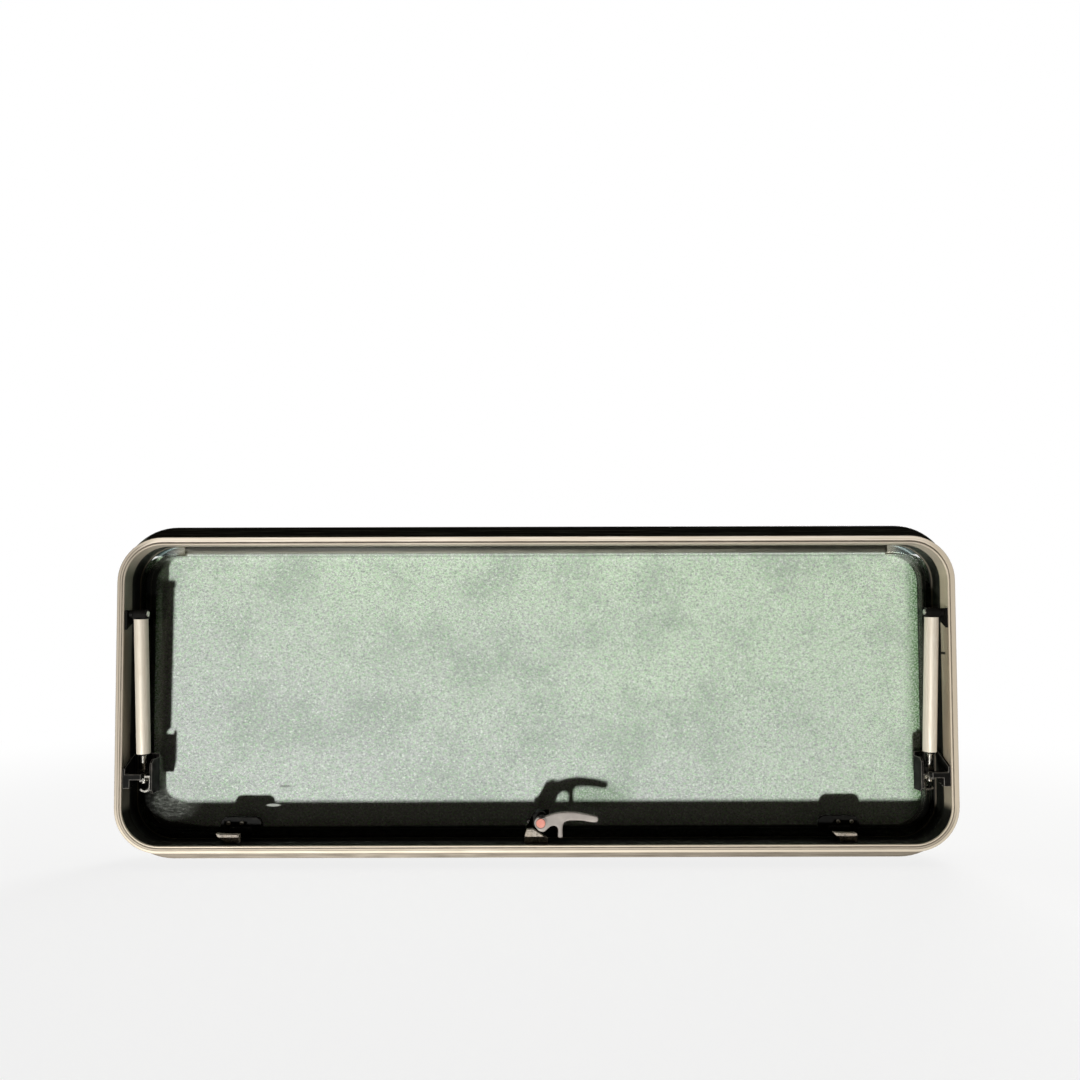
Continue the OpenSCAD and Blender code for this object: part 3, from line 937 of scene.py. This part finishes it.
# Painted shade: darker copies of the zinc plate for screws that sit in shadow.
SHADED_ZINC_STEEL = ZincSteel("zinc_steel_painted_shade", light="#8E8B84", dark="#65625C", roughness=0.5)
DEEP_SHADED_ZINC_STEEL = ZincSteel("zinc_steel_painted_deep_shade", light="#3A3936", dark="#1E1D1B", roughness=0.45)
RUBBER = SealRubber("epdm_rubber")
TRIM_STRIP = SealRubber("grey_trim_strip", colour="#5F574C", bloom="#776F62")
ACRYLIC = OuterAcrylic("outer_acrylic")
TRAY_ACRYLIC = TrayAcrylic("formed_acrylic")
FILM = FoamFilm("foamed_protective_film")

SLOT_FINISH: dict[str, Finish] = {
    "bare_aluminium": RING_METAL,
    "black_rail": RAIL_ENAMEL,
    "seal_rubber": RUBBER,
    "tinted_acrylic": ACRYLIC,
    "foam_film": FILM,
    "keeper_plastic": KEEPER_PLASTIC,
    "lever_plastic": LEVER_NYLON,
    "button_plastic": BUTTON_NYLON,
    "black_plastic": BLACK_NYLON,
    "bright_steel": PLATED_STEEL,
    "stay_aluminium": TUBE_METAL,
}
NODE_FINISH: dict[str, Finish] = {
    "outer_frame": FRAME_METAL, "pane_hinge": HINGE_METAL, "inner_sheet": TRAY_ACRYLIC,
    "ring_trim": TRIM_STRIP,
    "catch_screws": DEEP_SHADED_ZINC_STEEL, "left_pane_screws": DEEP_SHADED_ZINC_STEEL, "right_pane_screws": DEEP_SHADED_ZINC_STEEL,
    "left_catch_screws": SHADED_ZINC_STEEL, "right_catch_screws": SHADED_ZINC_STEEL,
}


# Pieces


@dataclass(frozen=True)
class Model:
    """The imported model: where each node is, what it rides on and which slot it takes."""

    nodes: dict[str, Object]
    record: dict[str, Any]

    def body(self, node: str) -> str:
        """Returns the body that a node rides on."""
        return next(b for b, names in self.record["behaviour"]["bodies"].items() if node in names)

    def slot(self, node: str) -> str:
        """Returns the material slot of a node."""
        return next(s["material_slot"] for s in self.record["subparts"] if s["node"] == node)

    def finish(self, node: str) -> Finish:
        """Returns the finish of a node."""
        return NODE_FINISH.get(node) or SLOT_FINISH[self.slot(node)]

    def copied(self, node: str) -> BMesh:
        """Copies a node's mesh and joins its loose triangles into flat faces.

        Args:
            node: The node's name.

        Returns:
            The joined mesh.
        """
        bm = bmesh.new()
        bm.from_mesh(self.nodes[node].data)
        bmesh.ops.remove_doubles(bm, verts=bm.verts, dist=2 * JOIN_DISTANCE)
        bmesh.ops.dissolve_limit(bm, angle_limit=FLAT_ANGLE, verts=bm.verts, edges=bm.edges)
        return bm


def linked(name: str, bm: BMesh) -> Object:
    """Puts a mesh into the scene as an object at the origin.

    Args:
        name: The object's name.
        bm: The mesh, which is freed.

    Returns:
        The object.
    """
    mesh = bpy.data.meshes.new(name)
    bm.to_mesh(mesh)
    bm.free()
    made = bpy.data.objects.new(name, mesh)
    bpy.context.scene.collection.objects.link(made)
    return made


def show(name: str, bm: BMesh, finish: Finish, model: Model, node: str) -> Object:
    """Turns a mesh into a piece that stands for a node.

    Args:
        name: The piece's name.
        bm: The mesh, which is freed.
        finish: The piece's finish.
        model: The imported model.
        node: The node that the piece replaces.

    Returns:
        The piece.
    """
    piece = linked(name, bm)
    piece.data.materials.append(finish.material())
    piece.data.shade_smooth()
    piece.data.set_sharp_from_angle(angle=SMOOTH_ANGLE)
    weights = piece.modifiers.new("Flat faces keep their shade", "WEIGHTED_NORMAL")
    weights.keep_sharp = True
    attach(piece, model.body(node))
    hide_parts(node)
    LOG.info("%s: %d faces", name, len(piece.data.polygons))
    return piece


def soften(bm: BMesh, radius_mm: float, segments: int = 3, highlit_edges: bool = False) -> None:
    """Rounds the sharp edges of a mesh.

    Args:
        bm: The mesh.
        radius_mm: Size of the rounding.
        segments: Number of faces across the rounding.
        highlit_edges: Whether the roundings take the piece's second finish.
    """
    # Roundings that take the second finish get a painted highlight.
    edges = [e for e in bm.edges if len(e.link_faces) == 2 and e.calc_face_angle(0.0) > BEVEL_ANGLE]
    bmesh.ops.bevel(bm, geom=edges, offset=radius_mm * MM, offset_type="OFFSET", segments=segments,
                    profile=0.5, affect="EDGES", clamp_overlap=True, material=1 if highlit_edges else -1)


@dataclass(frozen=True)
class RoundedParts:
    """Pieces that keep their solid's shape and get the small edge radius of the real ones."""

    radius_mm: dict[str, float] = field(default_factory=lambda: {
        "clamp_ring": 0.15, "outer_frame": 0.3, "hinge_rail": 0.3, "main_seal": 0.0,
        "ring_trim": 0.0, "stay_bracket": 0.4, "pivot_pin": 0.4, "stay_rest": 0.6,
        "centre_keeper": 0.7, "keeper": 0.5, "outer_sheet": 0.5, "inner_sheet": 0.3,
        "pane_hinge": 0.3, "pane_bracket": 0.5, "catch_base": 0.7, "catch": 0.8, "hub_ring": 0.15,
        "lever_stop": 0.2, "catch_button": 0.7, "stay_tube": 0.25, "stay_eye": 0.5,
        "stay_bush": 0.2, "stay_rod": 0.5, "rod_strap": 0.35, "rod_nuts": 0.45,
    })
    # The rounded edges of these pieces take a painted highlight.
    highlit_edges: tuple[str, ...] = ("stay_bracket", "stay_rest", "pane_bracket")

    def names(self, model: Model) -> list[tuple[str, float]]:
        """Pairs each node that this class makes with its edge radius.

        Args:
            model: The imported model.

        Returns:
            Pairs of a node's name and a radius in millimetres.
        """
        found = []
        for node in sorted(model.nodes):
            plain = node.removeprefix("left_").removeprefix("right_")
            radius = self.radius_mm.get(node, self.radius_mm.get(plain))
            if radius is not None:
                found.append((node, radius))
        return found

    def build(self, model: Model) -> None:
        """Makes every piece of this class.

        Args:
            model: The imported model.
        """
        for node, radius in self.names(model):
            bm = model.copied(node)
            highlit_edges = node.endswith(self.highlit_edges)
            if radius:
                soften(bm, radius, highlit_edges=highlit_edges)
            piece = show(f"{node}_finished", bm, model.finish(node), model, node)
            if highlit_edges:
                piece.data.materials.append(EDGE_HIGHLIGHT_NYLON.material())


@dataclass(frozen=True)
class FilmSheet:
    """The protective film, which lies a hair off the outer sheet."""

    node: str = "protective_film"
    lift: float = 0.15 * MM
    rounding_mm: float = 0.25

    def build(self, model: Model) -> None:
        """Makes the film.

        Args:
            model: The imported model.
        """
        low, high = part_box(self.node)
        bm = model.copied(self.node)
        inner = [v for v in bm.verts if v.co.y < (low.y + high.y) / 2]
        bmesh.ops.translate(bm, verts=inner, vec=(0, self.lift, 0))
        soften(bm, self.rounding_mm, segments=2)
        show("protective_film_sheet", bm, FILM, model, self.node)


def taken_out(solid: BMesh, cutter: BMesh) -> BMesh:
    """Takes one shape out of another.

    Args:
        solid: The shape that keeps the rest, which is freed.
        cutter: The shape that is taken out, which is freed.

    Returns:
        What is left, with the solid's overlapping parts joined.
    """
    kept, removed = linked("solid", solid), linked("cutter", cutter)
    boolean = kept.modifiers.new("cut", "BOOLEAN")
    boolean.operation, boolean.object, boolean.use_self = "DIFFERENCE", removed, True
    left = bmesh.new()
    left.from_object(kept, bpy.context.evaluated_depsgraph_get())
    for mesh in (kept.data, removed.data):
        bpy.data.meshes.remove(mesh)
    bmesh.ops.remove_doubles(left, verts=left.verts, dist=JOIN_DISTANCE)
    return left


@dataclass(frozen=True)
class CatchLever:
    """The catch's lever: a moulded arm with full round edges, a boss with a seat, and a shaft.

    Lengths are in millimetres, and the outline's points count from the lever's axis.
    """

    node: str = "catch_lever"
    axis: tuple[float, float] = (4.3, 33.85)
    outline: tuple[tuple[float, float], ...] = (
        (-6.9, 0), (-6.0, 3.4), (-3.4, 6.0), (0, 6.9), (3.4, 7.1), (7.6, 8.1), (13, 9.9),
        (19.5, 11.2), (26, 11.8), (32, 11.8), (39, 11.2), (46.5, 10.1), (52, 8.9), (57.5, 7.6),
        (60.9, 6.6), (62.1, 4), (61, 1.3), (58.4, 0.35), (53.5, 0.7), (48, 1.7), (43, 2.35),
        (37, 2.5), (31, 2.3), (27, 1.3), (24.6, -0.9), (23.7, -4.5), (23.5, -9), (23.7, -13.5),
        (23.8, -15.8), (22.9, -17.3), (21.1, -18), (19.3, -17.3), (18.4, -15.8), (18.5, -12),
        (18.6, -8.5), (18.2, -5.8), (16.6, -3.9), (14.2, -3.2), (11.6, -3.5), (9.2, -4.9),
        (7, -6.8), (4.6, -8.9), (2.2, -9.7), (0, -9.4), (-2.6, -8.1), (-5, -5.6), (-6.5, -2.6),
    )
    thickness: float = 5.0
    rounding: float = 1.9
    boss_radius: float = 6.8
    shaft_radius: float = 3.0
    seat_radius: float = 5.2
    seat_depth: float = 3.7
    notch: tuple[float, float, float, float] = (-2.0, 3.0, 5.6, 8.7)
    steps: int = 96

    upright: Matrix = field(default_factory=lambda: Matrix.Rotation(math.pi / 2, 4, "X"))

    def middle(self, start: float, end: float) -> Matrix:
        """Returns the move to the lever's axis, half-way between two values of Y in metres."""
        return Matrix.Translation((self.axis[0] * MM, (start + end) / 2, self.axis[1] * MM))

    def arm(self) -> BMesh:
        """Makes the arm as a filled outline with round edges.

        Returns:
            The arm, which lies in the plane of X and Y around the lever's axis.
        """
        line = bpy.data.curves.new("lever_outline", "CURVE")
        line.dimensions, line.fill_mode, line.resolution_u = "2D", "BOTH", 4
        line.bevel_depth, line.bevel_resolution = self.rounding * MM, 4
        line.offset = -self.rounding * MM
        line.extrude = (self.thickness / 2 - self.rounding) * MM
        spline = line.splines.new("BEZIER")
        spline.use_cyclic_u = True
        spline.bezier_points.add(len(self.outline) - 1)
        for point, (x, z) in zip(spline.bezier_points, self.outline):
            point.co = (x * MM, z * MM, 0)
            point.handle_left_type = point.handle_right_type = "AUTO"
        carrier = bpy.data.objects.new("lever_outline", line)
        bpy.context.scene.collection.objects.link(carrier)
        graph = bpy.context.evaluated_depsgraph_get()
        mesh = bpy.data.meshes.new_from_object(carrier.evaluated_get(graph))
        bm = bmesh.new()
        bm.from_mesh(mesh)
        bpy.data.meshes.remove(mesh)
        bpy.data.objects.remove(carrier)
        bpy.data.curves.remove(line)
        bmesh.ops.remove_doubles(bm, verts=bm.verts, dist=JOIN_DISTANCE)
        bmesh.ops.recalc_face_normals(bm, faces=bm.faces)
        return bm

    def drum(self, bm: BMesh, radius: float, start: float, end: float) -> None:
        """Adds a cylinder on the lever's axis.

        Args:
            bm: The mesh that gets the cylinder.
            radius: Its radius in millimetres.
            start: Y of its front, in metres.
            end: Y of its back, in metres.
        """
        bmesh.ops.create_cone(bm, cap_ends=True, segments=self.steps, radius1=radius * MM,
                              radius2=radius * MM, depth=end - start,
                              matrix=self.middle(start, end) @ self.upright)

    def build(self, model: Model) -> None:
        """Makes the lever.

        Args:
            model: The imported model.
        """
        low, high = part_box(self.node)
        back = low.y + self.thickness * MM
        middle = self.middle(low.y, back)
        solid, cutter = self.arm(), bmesh.new()
        bmesh.ops.transform(solid, matrix=middle @ self.upright, verts=solid.verts)
        self.drum(solid, self.boss_radius, low.y, back)
        self.drum(solid, self.shaft_radius, back - 1 * MM, high.y)
        self.drum(cutter, self.seat_radius, low.y - 1 * MM, low.y + self.seat_depth * MM)
        left, right, bottom, top = self.notch
        slot = Matrix.Diagonal(
            ((right - left) * MM, 2 * self.thickness * MM, (top - bottom) * MM, 1))
        shift = Matrix.Translation(((left + right) / 2 * MM, 0, (bottom + top) / 2 * MM))
        bmesh.ops.create_cube(cutter, size=1, matrix=middle @ shift @ slot)
        show("catch_lever_moulded", taken_out(solid, cutter), LEVER_NYLON, model, self.node)


@dataclass(frozen=True)
class PanScrews:
    """Pan-head screws with a cross recess, one on each disc of the screw nodes.

    The dome gives shares of the head's radius and height, from its rim to its top. The turns say
    how far the recess turns from node to node and from screw to screw, in radians.
    """

    nodes: tuple[str, ...] = ("left_pane_screws", "right_pane_screws", "catch_screws",
                              "left_catch_screws", "right_catch_screws")
    dome: tuple[tuple[float, float], ...] = ((1, 0), (1, 0.35), (0.97, 0.55), (0.86, 0.78),
                                             (0.66, 0.92), (0.36, 0.985), (0, 1))
    recess_share: float = 0.55
    slot_share: float = 0.2
    recess_depth: float = 0.6
    spare: float = 0.05 * MM
    turns: tuple[float, float] = (0.5, 0.9)
    steps: int = 40

    def discs(self, model: Model, node: str) -> list[tuple[Vector, float, float]]:
        """Finds the discs of a screw node.

        Args:
            model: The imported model.
            node: The node's name.

        Returns:
            For each disc, from the lowest up and from left to right, the middle of its back face,
            its radius and its height.
        """
        bm = model.copied(node)
        seen: set[BMVert] = set()
        found = []
        for first in bm.verts:
            if first in seen:
                continue
            island = [first]
            seen.add(first)
            for vert in island:
                near = [e.other_vert(vert) for e in vert.link_edges]
                fresh = [v for v in near if v not in seen]
                seen.update(fresh)
                island.extend(fresh)
            xs, ys, zs = ([v.co[i] for v in island] for i in range(3))
            middle = Vector(((min(xs) + max(xs)) / 2, max(ys), (min(zs) + max(zs)) / 2))
            found.append((middle, (max(xs) - min(xs)) / 2, max(ys) - min(ys)))
        bm.free()
        return sorted(found, key=lambda disc: (round(disc[0].z, 5), disc[0].x))

    def head(self, bm: BMesh, middle: Vector, radius: float, height: float) -> None:
        """Turns a domed head and adds it to a mesh.

        Args:
            bm: The mesh that gets the head.
            middle: Middle of the head's back face.
            radius: Radius of the head.
            height: Height of the head.
        """
        verts = [bm.verts.new(middle)]
        verts += [bm.verts.new(middle + Vector((out * radius, -up * height, 0)))
                  for out, up in self.dome]
        edges = [bm.edges.new(pair) for pair in zip(verts, verts[1:])]
        bmesh.ops.spin(bm, geom=verts + edges, cent=middle, axis=(0, 1, 0), dvec=(0, 0, 0),
                       angle=math.tau, steps=self.steps, use_merge=True)
        bmesh.ops.remove_doubles(bm, verts=bm.verts, dist=JOIN_DISTANCE)
        bmesh.ops.recalc_face_normals(bm, faces=bm.faces)

    def cross(self, bm: BMesh, middle: Vector, radius: float, height: float,
              turn: float) -> None:
        """Adds the shape that the cross recess takes out of a head.

        Args:
            bm: The mesh that gets the shape.
            middle: Middle of the head's back face.
            radius: Radius of the head.
            height: Height of the head.
            turn: Angle of the recess.
        """
        depth = self.recess_depth * height
        top = middle - Vector((0, height - depth / 2 + self.spare, 0))
        size = Matrix.Diagonal((2 * self.recess_share * radius, depth + 2 * self.spare,
                                2 * self.slot_share * radius, 1))
        for quarter in (0, 1):
            spun = Matrix.Rotation(turn + quarter * math.pi / 2, 4, "Y")
            bmesh.ops.create_cube(bm, size=1, matrix=Matrix.Translation(top) @ spun @ size)

    def build(self, model: Model) -> None:
        """Makes the screws of every screw node.

        Args:
            model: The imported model.
        """
        for number, node in enumerate(self.nodes):
            heads, crosses = bmesh.new(), bmesh.new()
            for place, (middle, radius, height) in enumerate(self.discs(model, node)):
                self.head(heads, middle, radius, height)
                turn = self.turns[0] * number + self.turns[1] * place
                self.cross(crosses, middle, radius, height, turn)
            show(f"{node}_pan_head", taken_out(heads, crosses), model.finish(node), model, node)


# Studio


@dataclass(frozen=True)
class Viewpoint:
    """The camera, in front of the opening a little above its middle."""

    place: tuple[float, float, float] = (0.0, -0.906, 0.24225)
    tilt_deg: float = 2.0
    roll_deg: float = -0.15
    lens_mm: float = 26.97
    sensor_mm: float = 36.0
    shift: tuple[float, float] = (0.0035, 0.0563)
    nearest: float = 0.02

    def build(self) -> None:
        """Makes the camera and sets it as the scene's."""
        data = bpy.data.cameras.new("camera")
        data.lens, data.sensor_width, data.sensor_fit = self.lens_mm, self.sensor_mm, "HORIZONTAL"
        data.shift_x, data.shift_y = self.shift
        data.clip_start = self.nearest
        camera = bpy.data.objects.new("camera", data)
        camera.location = self.place
        turn = Matrix.Rotation(math.radians(90 + self.tilt_deg), 4, "X")
        roll = Matrix.Rotation(math.radians(self.roll_deg), 4, "Z")
        camera.rotation_euler = (turn @ roll).to_euler()
        bpy.context.scene.collection.objects.link(camera)
        bpy.context.scene.camera = camera


@dataclass(frozen=True)
class Lamp:
    """A soft square lamp that points at the window."""

    name: str
    place: tuple[float, float, float]
    size: float
    watts: float
    colour: str = "#FFFFFF"
    aim: tuple[float, float, float] = (0.0, 0.0, 0.17)

    def build(self) -> None:
        """Makes the lamp."""
        data = bpy.data.lights.new(self.name, "AREA")
        data.shape, data.size, data.energy = "SQUARE", self.size, self.watts
        data.color = linear(self.colour)[:3]
        lamp = bpy.data.objects.new(self.name, data)
        lamp.location = self.place
        way = Vector(self.aim) - Vector(self.place)
        lamp.rotation_euler = way.to_track_quat("-Z", "Y").to_euler()
        lamp.visible_camera = False
        bpy.context.scene.collection.objects.link(lamp)


@dataclass(frozen=True)
class Studio:
    """Lamps, surroundings and floor."""

    key: Lamp = Lamp("key_lamp", (-0.96, -3.24, -2.03), 0.24, 245, "#FFFEFB")
    top: Lamp = Lamp("top_softbox", (0.3, 0.3, 2.6), 2.2, 18)
    back: Lamp = Lamp("outside_softbox", (1.4, 3.0, 1.4), 2.0, 120)
    ambient: str = "#FFF1D2"
    ambient_strength: float = 0.02
    dim_reflection: float = 0.02
    bright_reflection: float = 0.3
    floor_half: float = 9.0
    floor_gap: float = 0.1 * MM

    def surroundings(self) -> None:
        """Makes the world: dim and warm on surfaces, white behind, and a soft ring in mirrors."""
        world = bpy.data.worlds.new("studio")
        bpy.context.scene.world = world
        world.use_nodes = True
        tree = world.node_tree
        tree.nodes.clear()
        ray = add(tree, "ShaderNodeLightPath")
        way = add(tree, "ShaderNodeTexCoord").outputs["Generated"]
        depth = add(tree, "ShaderNodeSeparateXYZ", {"Vector": way}).outputs["Y"]
        mirror = graded(tree, depth, -0.85, -0.5, self.dim_reflection, self.bright_reflection)
        dim, white = (self.ambient_strength,) * 3 + (1,), (1, 1, 1, 1)
        strength = blended(tree, ray.outputs["Is Glossy Ray"], dim, mirror)
        strength = blended(tree, ray.outputs["Is Camera Ray"], strength, white)
        tone = blended(tree, ray.outputs["Is Camera Ray"], linear(self.ambient), white)
        light = add(tree, "ShaderNodeBackground", {"Color": tone, "Strength": strength})
        add(tree, "ShaderNodeOutputWorld", {"Surface": light.outputs["Background"]})

    def floor(self) -> None:
        """Makes the floor just under the flange, which neither stops nor sends back light."""
        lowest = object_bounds()[0]
        bm = bmesh.new()
        height = Matrix.Translation((0, 0, lowest[2] - self.floor_gap))
        bmesh.ops.create_grid(bm, x_segments=8, y_segments=8, size=self.floor_half, matrix=height)
        floor = linked("floor", bm)
        floor.data.materials.append(StudioFloor("pale_paper_floor").material())
        floor.visible_shadow = floor.visible_diffuse = floor.visible_glossy = False
        floor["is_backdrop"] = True

    def build(self) -> None:
        """Makes the studio."""
        self.surroundings()
        self.floor()
        for lamp in (self.key, self.top, self.back):
            lamp.build()
        bpy.context.scene.view_settings.view_transform = "Standard"


def plain(box: Any) -> list[list[float]]:
    """Returns a box as plain lists of numbers."""
    return [[float(value) for value in corner] for corner in box]


def main() -> None:
    """Builds the window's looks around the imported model."""
    logging.basicConfig(level=logging.INFO, format="%(name)s: %(message)s")
    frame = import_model()
    Viewpoint().build()
    model = Model(frame["nodes"], frame["record"])
    for maker in (RoundedParts(), FilmSheet(), CatchLever(), PanScrews()):
        maker.build(model)
    Studio().build()


if __name__ == "__main__":
    main()
